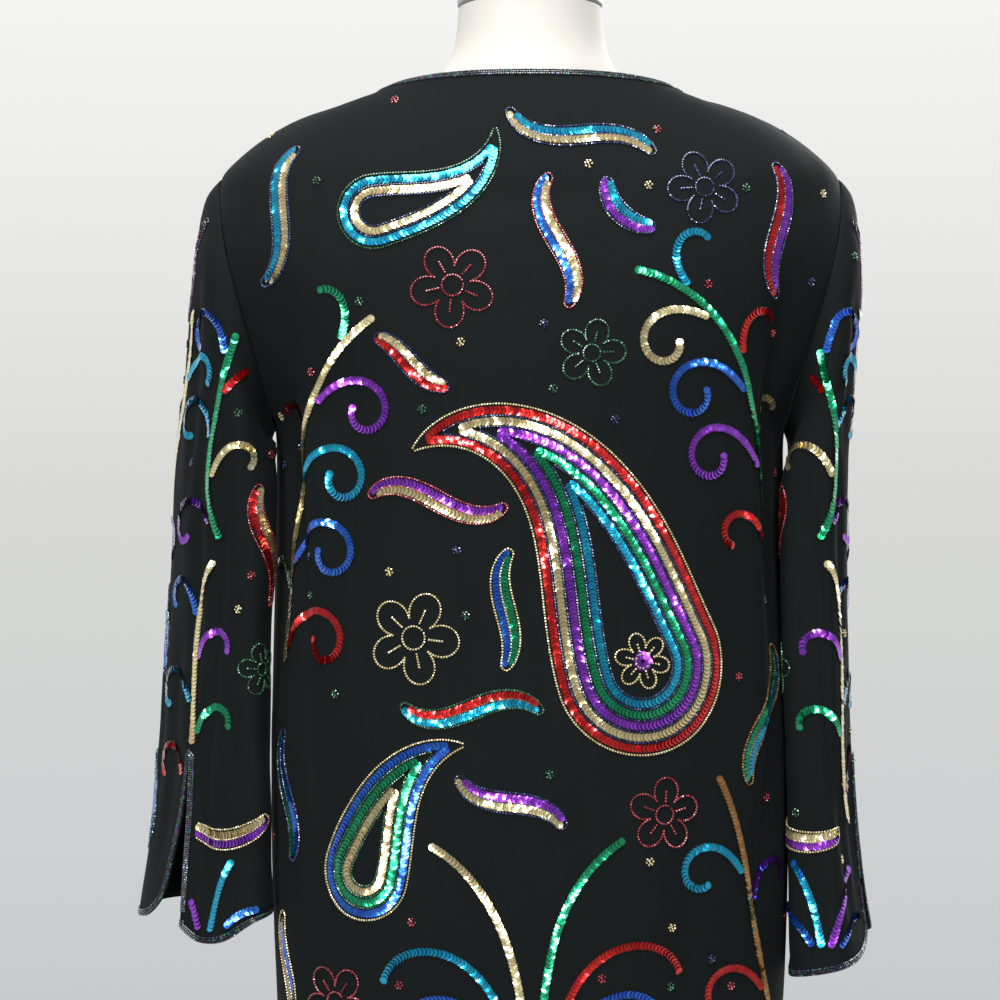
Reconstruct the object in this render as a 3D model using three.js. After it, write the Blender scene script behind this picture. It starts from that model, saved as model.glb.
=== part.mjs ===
// Long-sleeved, collarless evening jacket with a beaded surface, shown on a limbless dress form.
// Units are millimetres. +Z is up, the jacket's back faces -Y and its open front faces +Y.
// The origin is the middle of the form's flat base board.
// Each garment piece is a thin wall: a grid of outer points, the same points moved in, and a rim.
import * as THREE from "three";

// Driving sizes
const clothWall = 1.6;
const seamGap = 0.4;
const halfGap = seamGap / 2;
const hemHeight = 75;
const underarm = { x: 190, z: 540 };
const shoulderTip = { x: 231, y: 2, z: 734 };
const neckPoint = { x: 114, y: -2, z: 786 };
const frontNeckHeight = 692;
const frontOpening = 5; // half of the gap between the two fronts at the neck
const frontSpread = 5; // how much further each front edge hangs open at the hem

// Grid counts. The sleeve has one column for each row of the armhole, back and front.
const halfColumns = 12;
const bodyRows = 11;
const armholeRows = 12;
const shoulderRows = 5;
const capRows = 8;
const sleeveRows = 15;
const slitColumn = 1;

const radians = (degrees) => (degrees * Math.PI) / 180;
const mix = (a, b, share) => a + (b - a) * share;
const clamp01 = (value) => Math.min(1, Math.max(0, value));
const smooth = (value) => {
  const t = clamp01(value);
  return t * t * (3 - 2 * t);
};
const bell = (value, middle, width) => Math.exp(-(((value - middle) / width) ** 2));
const signedPower = (value, power) => Math.sign(value) * Math.abs(value) ** power;

// A table's named columns at one value of its key column, on a smooth curve through its rows.
function rowAt(table, value, key = "z") {
  const last = table.length - 1;
  let i = 0;
  while (i < last - 1 && value > table[i + 1][key]) i += 1;
  const step = table[i + 1][key] - table[i][key];
  const share = clamp01((value - table[i][key]) / step);
  const found = { [key]: value };
  for (const name of Object.keys(table[0])) {
    if (name === key) continue;
    const slope = (k) => {
      const low = Math.max(0, k - 1);
      const high = Math.min(last, k + 1);
      return (table[high][name] - table[low][name]) / (table[high][key] - table[low][key]);
    };
    found[name] = hermite(table[i][name], table[i + 1][name], slope(i) * step, slope(i + 1) * step, share);
  }
  return found;
}

function hermite(start, end, leave, arrive, t) {
  const t2 = t * t;
  const t3 = t2 * t;
  return (
    (2 * t3 - 3 * t2 + 1) * start +
    (t3 - 2 * t2 + t) * leave +
    (3 * t2 - 2 * t3) * end +
    (t3 - t2) * arrive
  );
}

function hermitePoint(start, end, leave, arrive, t) {
  return new THREE.Vector3(
    hermite(start.x, end.x, leave.x, arrive.x, t),
    hermite(start.y, end.y, leave.y, arrive.y, t),
    hermite(start.z, end.z, leave.z, arrive.z, t),
  );
}

// The jacket's body below the armholes. Depths are measured from the side seam, which lies at y = 0.
const bodySections = [
  { z: hemHeight, halfWidth: 187, back: 128, front: 138 },
  { z: 170, halfWidth: 192, back: 134, front: 142 },
  { z: 280, halfWidth: 194, back: 133, front: 143 },
  { z: 400, halfWidth: 192, back: 129, front: 143 },
  { z: 480, halfWidth: 190, back: 128, front: 145 },
  { z: underarm.z, halfWidth: underarm.x, back: 128, front: 144 },
];

// The middle of the back and of each front above the armholes' lowest point.
const backMiddle = [
  { z: underarm.z, depth: 128 },
  { z: 600, depth: 126 },
  { z: 660, depth: 118 },
  { z: 720, depth: 103.5 },
  { z: 760, depth: 90 },
  { z: 800, depth: 73 },
];
const frontMiddle = [
  { z: underarm.z, depth: 144 },
  { z: 575, depth: 141 },
  { z: 615, depth: 128 },
  { z: 655, depth: 109 },
  { z: frontNeckHeight, depth: 93 },
];

// The armhole seam from the underarm, at 0, to the shoulder tip, at 1. in is its way off the side line.
const backArmhole = [
  { at: 0, x: underarm.x, in: 0, z: underarm.z },
  { at: 0.14, x: 191.5, in: 26, z: 551 },
  { at: 0.28, x: 195.5, in: 46, z: 573 },
  { at: 0.42, x: 203, in: 58, z: 603 },
  { at: 0.56, x: 213, in: 62, z: 637 },
  { at: 0.7, x: 221.5, in: 57, z: 669 },
  { at: 0.85, x: 229, in: 34, z: 708 },
  { at: 1, x: shoulderTip.x, in: -shoulderTip.y, z: shoulderTip.z },
];
const frontArmhole = [
  { at: 0, x: underarm.x, in: 0, z: underarm.z },
  { at: 0.14, x: 189.5, in: 27, z: 551 },
  { at: 0.28, x: 190, in: 48, z: 574 },
  { at: 0.42, x: 194, in: 60, z: 604 },
  { at: 0.56, x: 202, in: 62, z: 638 },
  { at: 0.7, x: 212, in: 54, z: 671 },
  { at: 0.85, x: 224, in: 32, z: 709 },
  { at: 1, x: shoulderTip.x, in: shoulderTip.y, z: shoulderTip.z },
];

// Each side's own numbers: which way it faces, its tables, and how its shoulder falls to the neckline.
const backSide = {
  way: -1,
  middle: backMiddle,
  depthName: "back",
  armhole: backArmhole,
  neckSweep: 1,
};
const frontSide = {
  way: 1,
  middle: frontMiddle,
  depthName: "front",
  armhole: frontArmhole,
  neckSweep: 1.85,
};
const shoulderCurve = 2.3;
const tipNormal = { x: 0.7, z: 0.714 }; // square to the shoulder seam where it ends
const roundness = 0.86; // 1 makes the body's sections elliptical, less makes them squarer

// Long soft drapes of the body: along is the place from the centre line, 0, to the side seam, 1. A drape
// deepens over drapeStart below its top and dies out over drapeEnd above its bottom.
const drapeStart = 90;
const drapeEnd = 120;
const bodyDrapes = [
  { way: -1, hand: 1, along: 0.83, width: 0.1, depth: 7, top: 690, bottom: 330 },
  { way: -1, hand: -1, along: 0.8, width: 0.1, depth: 6, top: 680, bottom: 300 },
  { way: -1, hand: 1, along: 0.48, width: 0.11, depth: 2.5, top: 470, bottom: 75 },
  { way: -1, hand: -1, along: 0.44, width: 0.12, depth: 3, top: 520, bottom: 75 },
  { way: -1, hand: -1, along: 0.13, width: 0.11, depth: 2, top: 400, bottom: 75 },
  { way: 1, hand: 1, along: 0.8, width: 0.1, depth: 7, top: 660, bottom: 280 },
  { way: 1, hand: -1, along: 0.82, width: 0.1, depth: 6, top: 670, bottom: 320 },
  { way: 1, hand: 1, along: 0.42, width: 0.12, depth: 5, top: 500, bottom: 75 },
  { way: 1, hand: -1, along: 0.45, width: 0.12, depth: 5, top: 490, bottom: 75 },
];

function drapeDepth(way, hand, along, z) {
  let depth = 0;
  for (const drape of bodyDrapes) {
    if (drape.way !== way || drape.hand !== hand) continue;
    const fadeIn = smooth((drape.top - z) / drapeStart);
    const fadeOut = drape.bottom > hemHeight ? smooth((z - drape.bottom) / drapeEnd) : 1;
    depth += drape.depth * bell(along, drape.along, drape.width) * fadeIn * fadeOut;
  }
  return depth;
}

// The edge of a panel away from the centre line: side seam, armhole, then shoulder seam. in is how far
// the edge lies off the side line, towards the middle of the back or of the front.
function panelEdge(side, row) {
  if (row <= bodyRows) {
    const z = mix(hemHeight, underarm.z, row / bodyRows);
    return { x: rowAt(bodySections, z).halfWidth, y: side.way * halfGap, z, in: 0 };
  }
  if (row <= bodyRows + armholeRows) {
    const t = (row - bodyRows) / armholeRows;
    const seam = rowAt(side.armhole, t, "at");
    return { x: seam.x, y: side.way * (seam.in + halfGap), z: seam.z, in: seam.in };
  }
  const t = (row - bodyRows - armholeRows) / shoulderRows;
  return {
    x: mix(shoulderTip.x, neckPoint.x, t),
    y: mix(shoulderTip.y, neckPoint.y, t) + side.way * halfGap,
    z: neckPoint.z - (neckPoint.z - shoulderTip.z) * (1 - t) ** shoulderCurve,
    in: 0,
  };
}

// A panel's point on the centre line.
function panelMiddle(side, row) {
  if (row <= bodyRows) {
    const z = mix(hemHeight, underarm.z, row / bodyRows);
    return { depth: rowAt(bodySections, z)[side.depthName], z };
  }
  const top = side.middle[side.middle.length - 1].z;
  const share = (row - bodyRows) / (armholeRows + shoulderRows);
  const z = mix(underarm.z, top, share);
  return { depth: rowAt(side.middle, z).depth, z };
}

const topRow = bodyRows + armholeRows + shoulderRows;

// One point of a body panel. along runs from 0 at the centre line to 1 at the panel's outer edge.
function panelPoint(side, hand, row, along) {
  const edge = panelEdge(side, row);
  const middle = panelMiddle(side, row);
  const edgeShare = clamp01(edge.in / middle.depth);
  const turn = Math.acos(edgeShare ** (1 / roundness));
  const angle = along * turn;
  const fall = clamp01((Math.cos(angle) ** roundness - edgeShare) / (1 - edgeShare));
  const upper = smooth((row - bodyRows) / armholeRows);
  const rise = fall ** mix(1, side.neckSweep, upper);
  let x = edge.x * (Math.sin(angle) / Math.sin(turn)) ** roundness;
  let y = mix(edge.y, side.way * middle.depth, fall);
  const z = mix(edge.z, middle.z, rise);
  const drape = drapeDepth(side.way, hand, along, z);
  x -= drape * Math.sin(angle);
  y -= side.way * drape * Math.cos(angle);
  if (side.way > 0) {
    const below = clamp01((frontNeckHeight - z) / (frontNeckHeight - hemHeight));
    const opening = frontOpening + frontSpread * below;
    x = opening + (x * (edge.x - opening)) / edge.x;
  }
  return new THREE.Vector3(hand * x, y, z);
}

// Outward normals of a sheet's points, from its faces, which are counter-clockwise seen from outside.
function sheetNormals(points, faces) {
  const normals = points.map(() => new THREE.Vector3());
  const across = new THREE.Vector3();
  const along = new THREE.Vector3();
  for (const [a, b, c] of faces) {
    across.subVectors(points[b], points[a]);
    along.subVectors(points[c], points[a]);
    const facing = across.cross(along).clone();
    for (const i of [a, b, c]) normals[i].add(facing);
  }
  return normals.map((normal) => normal.normalize());
}

// A closed wall from a sheet of outer points: the same points moved in, and a rim on every free edge.
function wallGeometry({ points, faces, normals }) {
  const inner = points.map((point, i) => point.clone().addScaledVector(normals[i], -clothWall));
  const count = points.length;
  const indices = [];
  const directed = new Set(faces.flatMap(([a, b, c]) => [`${a},${b}`, `${b},${c}`, `${c},${a}`]));
  for (const [a, b, c] of faces) {
    indices.push(a, b, c, a + count, c + count, b + count);
    for (const [from, to] of [[a, b], [b, c], [c, a]]) {
      if (directed.has(`${to},${from}`)) continue;
      indices.push(to, from, from + count, to, from + count, to + count);
    }
  }
  return indexedGeometry([...points, ...inner], indices);
}

function indexedGeometry(points, indices) {
  const geometry = new THREE.BufferGeometry();
  const places = points.flatMap((point) => [point.x, point.y, point.z]);
  geometry.setAttribute("position", new THREE.Float32BufferAttribute(places, 3));
  geometry.setIndex(indices);
  geometry.computeVertexNormals();
  return geometry;
}

// Two triangles for each cell of a grid; flip turns them to face the other way.
function cellFaces(a, b, c, d, flip) {
  return flip ? [[a, c, b], [a, d, c]] : [[a, b, c], [a, c, d]];
}

// A body panel's sheet. Its columns count from the centre line, negative on the left; both edges are kept.
function panelSheet(side, firstColumn, lastColumn) {
  const columns = lastColumn - firstColumn + 1;
  const points = [];
  const faces = [];
  for (let row = 0; row <= topRow; row += 1) {
    for (let column = firstColumn; column <= lastColumn; column += 1) {
      const hand = column < 0 || lastColumn === 0 ? -1 : 1;
      points.push(panelPoint(side, hand, row, Math.abs(column) / halfColumns));
    }
  }
  for (let row = 0; row < topRow; row += 1) {
    for (let i = 0; i < columns - 1; i += 1) {
      const a = row * columns + i;
      faces.push(...cellFaces(a, a + 1, a + 1 + columns, a + columns, side.way > 0));
    }
  }
  const normals = sheetNormals(points, faces);
  const at = (row, column) => row * columns + column - firstColumn;
  // At the side and shoulder seams the wall's rim stays level with the seam.
  for (let row = 0; row <= topRow; row += 1) {
    if (row > bodyRows && row < bodyRows + armholeRows) continue;
    for (const column of [-halfColumns, halfColumns]) {
      if (column < firstColumn || column > lastColumn) continue;
      const normal = normals[at(row, column)].setY(0).normalize();
      if (row === bodyRows + armholeRows) normal.set((column / halfColumns) * tipNormal.x, 0, tipNormal.z);
    }
  }
  return { points, faces, normals, at };
}

// The sleeves hang empty and flattened: thick is half of the narrow way, wide half of the broad way,
// turn is how far the broad way swings out of the fore-and-aft line, in degrees, and hug is how far
// the cloth behind the arm reaches round towards the back.
const sleeveTop = 500;
const creaseFade = 80; // the length over which a sleeve's crease deepens and dies out
const leftSleeve = {
  hand: -1,
  headPuff: 70,
  sections: [
    { z: 150, x: 245, y: -4, thick: 32, wide: 79, turn: 32, hug: 8 },
    { z: 185, x: 243.5, y: -4, thick: 30.5, wide: 76, turn: 34, hug: 6 },
    { z: 226, x: 242, y: -4, thick: 29.5, wide: 73, turn: 35, hug: 4 },
    { z: 264, x: 240, y: -4, thick: 29, wide: 72, turn: 35, hug: 3 },
    { z: 339, x: 237.5, y: -3, thick: 29, wide: 72, turn: 34, hug: 3 },
    { z: 414, x: 234, y: -2, thick: 29, wide: 71, turn: 31, hug: 4 },
    { z: sleeveTop, x: 231.5, y: 0, thick: 30, wide: 68, turn: 25, hug: 6 },
  ],
  hem: [
    { angle: 15, z: 176 },
    { angle: 30, z: 166 },
    { angle: 60, z: 169 },
    { angle: 90, z: 184 },
    { angle: 180, z: 190 },
    { angle: 270, z: 180 },
    { angle: 330, z: 176 },
    { angle: 360, z: 182 },
    { angle: 375, z: 196 },
  ],
  slitTop: 300,
  flare: 14,
  creases: [
    { at: 52, width: 17, depth: 5, top: 640, bottom: 150 },
    { at: 118, width: 19, depth: 4, top: 560, bottom: 220 },
    { at: 232, width: 20, depth: 5, top: 600, bottom: 160 },
    { at: 300, width: 18, depth: 4, top: 520, bottom: 200 },
  ],
};
const rightSleeve = {
  hand: 1,
  headPuff: 76,
  sections: [
    { z: 120, x: 225.5, y: -8, thick: 30.5, wide: 77, turn: 6, hug: 12 },
    { z: 159, x: 224, y: -8, thick: 28.5, wide: 74, turn: 6, hug: 13 },
    { z: 189, x: 221.5, y: -8, thick: 26, wide: 72, turn: 5, hug: 14 },
    { z: 226, x: 220, y: -8, thick: 24, wide: 70, turn: 4, hug: 14 },
    { z: 264, x: 218.7, y: -7, thick: 23, wide: 70, turn: 4, hug: 14 },
    { z: 339, x: 217, y: -5, thick: 22.5, wide: 70, turn: 4, hug: 15 },
    { z: 414, x: 215.5, y: -3, thick: 22.5, wide: 70, turn: 3, hug: 16 },
    { z: sleeveTop, x: 215, y: 0, thick: 23, wide: 69, turn: 2, hug: 17 },
  ],
  hem: [
    { angle: 15, z: 172 },
    { angle: 30, z: 160 },
    { angle: 90, z: 149 },
    { angle: 135, z: 143 },
    { angle: 180, z: 149 },
    { angle: 270, z: 160 },
    { angle: 330, z: 163 },
    { angle: 360, z: 170 },
    { angle: 375, z: 184 },
  ],
  slitTop: 300,
  flare: 4,
  creases: [
    { at: 48, width: 17, depth: 4, top: 640, bottom: 180 },
    { at: 108, width: 18, depth: 5, top: 600, bottom: 140 },
    { at: 240, width: 20, depth: 4, top: 560, bottom: 200 },
    { at: 308, width: 18, depth: 5, top: 600, bottom: 160 },
  ],
};
const sleeveColumns = 2 * armholeRows;
const slitWidth = 9;
const slitAngle = (360 * slitColumn) / sleeveColumns;
const flareSpread = 60; // how far round the cuff the front flap's flare reaches, in degrees
const hugReach = { middle: 125, width: 26 }; // where round the sleeve it reaches for the back, in degrees

// Gathers at the head of a sleeve, as angles from its highest point, and how far each one lifts the cloth.
const headGathers = [-44, -15, 15, 44];
const gatherLift = { x: 2.6, z: 2 };
const gatherReach = { angle: 9, along: 0.16 };

// A point of a hanging sleeve's section. angle 0 is outermost, 90 at the back, 180 against the body.
function sectionPoint(sleeve, angle, z) {
  const s = rowAt(sleeve.sections, z);
  const turn = radians(s.turn);
  let crease = 0;
  for (const fold of sleeve.creases) {
    const fade = smooth((fold.top - z) / creaseFade) * smooth((z - fold.bottom) / creaseFade + 0.5);
    crease += fold.depth * bell(angle, fold.at, fold.width) * fade;
  }
  const outward = (s.thick - 0.6 * crease) * Math.cos(radians(angle));
  const backward = (s.wide - crease) * Math.sin(radians(angle));
  const hug = s.hug * bell(angle, hugReach.middle, hugReach.width);
  const x = s.x - hug + outward * Math.cos(turn) - backward * Math.sin(turn);
  const y = s.y - outward * Math.sin(turn) - backward * Math.cos(turn);
  return new THREE.Vector3(x, y, z);
}

// The armhole all round, from the shoulder down the back and up the front, moved off the panels' edges by
// the seam gap. Points and normals are given as for a right sleeve.
function armholeRing(hand, back, front) {
  const edges = [];
  for (let column = 0; column < sleeveColumns; column += 1) {
    const sheet = column <= armholeRows ? back : front;
    const row = bodyRows + Math.abs(armholeRows - column);
    const edge = sheet.at(row, hand * halfColumns);
    const point = sheet.points[edge].clone();
    const normal = sheet.normals[edge].clone();
    for (const vector of [point, normal]) vector.x *= hand;
    if (column === 0) point.y = shoulderTip.y;
    if (column === armholeRows) point.y = 0;
    edges.push({ point, normal });
  }
  return edges.map(({ point, normal }, column) => {
    const before = edges[(column + sleeveColumns - 1) % sleeveColumns].point;
    const after = edges[(column + 1) % sleeveColumns].point;
    const off = normal.clone().cross(after.clone().sub(before)).normalize();
    return { point: point.clone().addScaledVector(off, 1.4 * seamGap), normal };
  });
}

// How the sleeve leaves the armhole: up and out at its head, down at the underarm.
function leavingArmhole(angle, sleeve) {
  const turned = radians(angle);
  const head = Math.max(0, Math.cos(turned));
  const under = Math.max(0, -Math.cos(turned));
  const flank = Math.abs(Math.sin(turned));
  return {
    x: sleeve.headPuff * head + 44 * flank + 14 * under,
    y: -28 * Math.sin(turned),
    z: 4 * head - 85 * flank - 30 * under,
  };
}

function sleevePoint(sleeve, ring, column, row, flap) {
  const angle = (360 * column) / sleeveColumns;
  if (row < capRows) {
    const t = row / capRows;
    const start = ring[column].point;
    const end = sectionPoint(sleeve, angle, sleeveTop);
    const below = sectionPoint(sleeve, angle, sleeveTop - 10);
    const drop = Math.abs(start.z - end.z);
    const arrive = end.clone().sub(below).multiplyScalar(-drop / 10);
    const point = hermitePoint(start, end, leavingArmhole(angle, sleeve), arrive, t);
    const fromTop = angle > 180 ? angle - 360 : angle;
    for (const gather of headGathers) {
      const lift = bell(fromTop, gather, gatherReach.angle) * bell(t, gatherReach.along, gatherReach.along);
      point.x += gatherLift.x * lift;
      point.z += gatherLift.z * lift;
    }
    return point;
  }
  const front = flap === "front" || column < slitColumn;
  const round = angle + (front ? 360 : 0);
  const bottom = rowAt(sleeve.hem, round, "angle").z;
  const z = mix(sleeveTop, bottom, (row - capRows) / sleeveRows);
  const point = sectionPoint(sleeve, angle, z);
  const opened = clamp01((sleeve.slitTop - z) / (sleeve.slitTop - bottom));
  if (front || angle > 180) {
    point.x += sleeve.flare * opened ** 1.4 * bell(round, 360 + slitAngle, flareSpread);
  }
  if (column === slitColumn && opened > 0) {
    const open = (slitWidth / 2) * opened + 0.4;
    point.y += flap === "front" ? open : -open;
  }
  return point;
}

function sleeveSheet(sleeve, ring) {
  const lastRow = capRows + sleeveRows;
  const points = [];
  const faces = [];
  const place = new Map();
  const add = (key, point) => {
    point.x *= sleeve.hand;
    place.set(key, points.length);
    points.push(point);
  };
  for (let row = 0; row <= lastRow; row += 1) {
    for (let column = 0; column < sleeveColumns; column += 1) {
      const back = sleevePoint(sleeve, ring, column, row, "back");
      const split = column === slitColumn && row > capRows && back.z < sleeve.slitTop;
      add(`${row},${column},back`, back);
      if (split) add(`${row},${column},front`, sleevePoint(sleeve, ring, column, row, "front"));
    }
  }
  const indexOf = (row, column, flap) =>
    place.get(`${row},${column},${flap}`) ?? place.get(`${row},${column},back`);
  for (let row = 0; row < lastRow; row += 1) {
    for (let column = 0; column < sleeveColumns; column += 1) {
      const next = (column + 1) % sleeveColumns;
      const a = indexOf(row, column, "back");
      const b = indexOf(row, next, "front");
      const c = indexOf(row + 1, next, "front");
      const d = indexOf(row + 1, column, "back");
      faces.push(...cellFaces(a, b, c, d, sleeve.hand < 0));
    }
  }
  // Where the sleeve runs on from the body, their rims are parallel. At the underarm it folds down instead.
  const normals = sheetNormals(points, faces);
  ring.forEach(({ normal }, column) => {
    const square = normal.clone();
    square.x *= sleeve.hand;
    const runsOn = square.dot(normals[column]) > 0.35;
    if (runsOn) normals[column].copy(square);
  });
  return { points, faces, normals };
}

// The dress form. Its depths are measured from y = 0, and pinch over 1 draws a section in to thin ends.
const boardThickness = 12;
const neckTop = 857;
const neckCapHeight = 11;
const formSections = [
  { z: boardThickness + seamGap, halfWidth: 148, back: 98, front: 88, pinch: 1 },
  { z: 60, halfWidth: 158, back: 106, front: 95, pinch: 1 },
  { z: 120, halfWidth: 167, back: 113, front: 102, pinch: 1 },
  { z: 185, halfWidth: 170, back: 116, front: 105, pinch: 1 },
  { z: 260, halfWidth: 158, back: 108, front: 102, pinch: 1 },
  { z: 330, halfWidth: 136, back: 95, front: 96, pinch: 1 },
  { z: 385, halfWidth: 122, back: 88, front: 92, pinch: 1 },
  { z: 440, halfWidth: 128, back: 92, front: 102, pinch: 1 },
  { z: 500, halfWidth: 142, back: 99, front: 120, pinch: 1 },
  { z: 555, halfWidth: 153, back: 104, front: 131, pinch: 1 },
  { z: 600, halfWidth: 160, back: 107, front: 122, pinch: 1 },
  { z: 650, halfWidth: 169, back: 107, front: 101, pinch: 1 },
  { z: 690, halfWidth: 180, back: 103, front: 82, pinch: 1 },
  { z: 720, halfWidth: 187, back: 96, front: 68, pinch: 1.1 },
  { z: 740, halfWidth: 187, back: 89, front: 56, pinch: 1.25 },
  { z: 755, halfWidth: 180, back: 83, front: 46, pinch: 1.4 },
  { z: 768, halfWidth: 165, back: 77, front: 38, pinch: 1.5 },
  { z: 777, halfWidth: 138, back: 73, front: 34, pinch: 1.5 },
  { z: 783, halfWidth: 116, back: 70, front: 34, pinch: 1.4 },
  { z: 790, halfWidth: 91, back: 67, front: 37, pinch: 1.2 },
  { z: 798, halfWidth: 76, back: 64, front: 40, pinch: 1.1 },
  { z: 810, halfWidth: 64, back: 60.5, front: 43, pinch: 1 },
  { z: 828, halfWidth: 56, back: 57, front: 45.5, pinch: 1 },
  { z: neckTop, halfWidth: 54, back: 56, front: 48, pinch: 1 },
];
const formColumns = 32;

function ovalPoint(section, share) {
  const angle = 2 * Math.PI * share;
  const across = signedPower(Math.cos(angle), section.pinch);
  const deep = signedPower(Math.sin(angle), section.pinch);
  const depth = deep < 0 ? section.back : section.front;
  return new THREE.Vector3(section.halfWidth * across, depth * deep, section.z);
}

// A closed solid through level sections, with a flat end below and above.
function loftGeometry(sections, columns) {
  const points = sections.flatMap((section) =>
    Array.from({ length: columns }, (_, i) => ovalPoint(section, i / columns)),
  );
  const indices = [];
  const rows = sections.length;
  for (let row = 0; row < rows - 1; row += 1) {
    for (let i = 0; i < columns; i += 1) {
      const a = row * columns + i;
      const b = row * columns + ((i + 1) % columns);
      indices.push(a, b, b + columns, a, b + columns, a + columns);
    }
  }
  const ends = [sections[0].z, sections[rows - 1].z];
  ends.forEach((z, end) => {
    const centre = points.length;
    points.push(new THREE.Vector3(0, 0, z));
    for (let i = 0; i < columns; i += 1) {
      const a = end * (rows - 1) * columns + i;
      const b = end * (rows - 1) * columns + ((i + 1) % columns);
      indices.push(...(end ? [centre, a, b] : [centre, b, a]));
    }
  });
  return indexedGeometry(points, indices);
}

// The board under the form and the cap on its neck follow the form's own end sections, with eased edges.
function plateGeometry(section, bottom, top, ease, grow) {
  const layer = (z, more) => ({
    z,
    halfWidth: section.halfWidth + more,
    back: section.back + more,
    front: section.front + more,
    pinch: 1,
  });
  const layers = [
    layer(bottom, grow - ease),
    layer(bottom + ease, grow),
    layer(top - ease, grow),
    layer(top, grow - ease),
  ];
  return loftGeometry(layers, formColumns);
}

// The form's sections with more of them in between, so that its curves stay smooth.
function smoothSections(table, between) {
  const sections = [];
  for (let i = 0; i < table.length - 1; i += 1) {
    const steps = table[i + 1].z - table[i].z > 40 ? between : 1;
    for (let k = 0; k < steps; k += 1) {
      sections.push(rowAt(table, mix(table[i].z, table[i + 1].z, k / steps)));
    }
  }
  sections.push({ ...table[table.length - 1] });
  return sections;
}

const silk = new THREE.MeshStandardMaterial({ color: 0x15191a, roughness: 0.72, metalness: 0 });
const formCover = new THREE.MeshStandardMaterial({ color: 0xf1ede4, roughness: 0.6, metalness: 0 });
const greyTrim = new THREE.MeshStandardMaterial({ color: 0x8c8d90, roughness: 0.5, metalness: 0.2 });

const jacket = new THREE.Group();
const addPiece = (name, geometry, material) => {
  const piece = new THREE.Mesh(geometry, material);
  piece.name = name;
  jacket.add(piece);
};

const back = panelSheet(backSide, -halfColumns, halfColumns);
const frontRight = panelSheet(frontSide, 0, halfColumns);
const frontLeft = panelSheet(frontSide, -halfColumns, 0);
const sleeveRight = sleeveSheet(rightSleeve, armholeRing(1, back, frontRight));
const sleeveLeft = sleeveSheet(leftSleeve, armholeRing(-1, back, frontLeft));

addPiece("back_panel", wallGeometry(back), silk);
addPiece("front_panel_right", wallGeometry(frontRight), silk);
addPiece("front_panel_left", wallGeometry(frontLeft), silk);
addPiece("sleeve_right", wallGeometry(sleeveRight), silk);
addPiece("sleeve_left", wallGeometry(sleeveLeft), silk);
addPiece("form_torso", loftGeometry(smoothSections(formSections, 2), formColumns), formCover);
addPiece("form_base_board", plateGeometry(formSections[0], 0, boardThickness, 2, 3), greyTrim);
const neckSection = formSections[formSections.length - 1];
const capBottom = neckTop + seamGap;
addPiece("form_neck_cap", plateGeometry(neckSection, capBottom, capBottom + neckCapHeight, 2, 0.5), greyTrim);

export default jacket;
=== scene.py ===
import math
import random

import bmesh
import bpy
import numpy as np
from mathutils import Matrix, Vector, noise
from mathutils.bvhtree import BVHTree


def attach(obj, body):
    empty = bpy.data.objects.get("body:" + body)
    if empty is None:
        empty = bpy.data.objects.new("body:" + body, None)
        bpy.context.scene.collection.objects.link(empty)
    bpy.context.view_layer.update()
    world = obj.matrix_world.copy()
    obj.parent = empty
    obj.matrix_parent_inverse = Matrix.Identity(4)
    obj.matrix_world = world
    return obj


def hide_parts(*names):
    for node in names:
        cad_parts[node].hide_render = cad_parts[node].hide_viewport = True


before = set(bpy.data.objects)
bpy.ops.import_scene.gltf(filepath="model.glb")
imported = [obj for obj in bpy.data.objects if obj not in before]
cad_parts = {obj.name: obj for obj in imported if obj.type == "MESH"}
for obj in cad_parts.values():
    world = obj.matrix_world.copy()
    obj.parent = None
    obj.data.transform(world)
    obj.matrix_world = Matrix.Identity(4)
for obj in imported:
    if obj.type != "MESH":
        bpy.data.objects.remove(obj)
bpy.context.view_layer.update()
mm = 0.001
dice = random.Random(11)  # every random draw comes from here, in the same order each run


# Camera, lights and floor
cameraSet = {"x": -22.5, "height": 489, "distance": 1900, "lens": 91.2, "sensor": 36}  # sizes in mm
lightSet = [
    {"name": "windowLight", "at": (-1.7, -2.3, 2.0), "size": 1.2, "watts": 56, "colour": (1, 0.985, 0.96)},
    {"name": "ceilingLight", "at": (0.1, -0.7, 2.9), "size": 1.8, "watts": 98, "colour": (1, 1, 1)},
    {"name": "glintLight", "at": (0.75, -2.7, 1.25), "size": 0.5, "watts": 26, "colour": (1, 1, 1)},
    {"name": "leftGlint", "at": (-1.15, -2.5, 0.85), "size": 0.45, "watts": 20, "colour": (1, 1, 1)},
    {"name": "lowGlint", "at": (0.35, -2.6, -0.15), "size": 0.45, "watts": 14, "colour": (1, 1, 1)},
    {"name": "backLight", "at": (1.6, 2.2, 1.8), "size": 1.6, "watts": 40, "colour": (1, 0.99, 0.97)},
]
wallSet = {"litFrom": 0.3, "dimFrom": -0.5, "dim": 0.4}  # the room is dimmer behind the camera
floorSet = {"radius": 620, "fadeFrom": 60, "fadeTo": 600, "colour": (0.33, 0.33, 0.325, 1)}
wallTones = [  # sine of the view's height above or below level, and the wall's colour there
    (-0.22, (0.555, 0.58, 0.595)),
    (-0.13, (0.615, 0.635, 0.64)),
    (0.0, (0.69, 0.695, 0.675)),
    (0.1, (0.81, 0.81, 0.79)),
    (0.19, (0.905, 0.905, 0.89)),
    (0.5, (0.94, 0.94, 0.93)),
]


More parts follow.
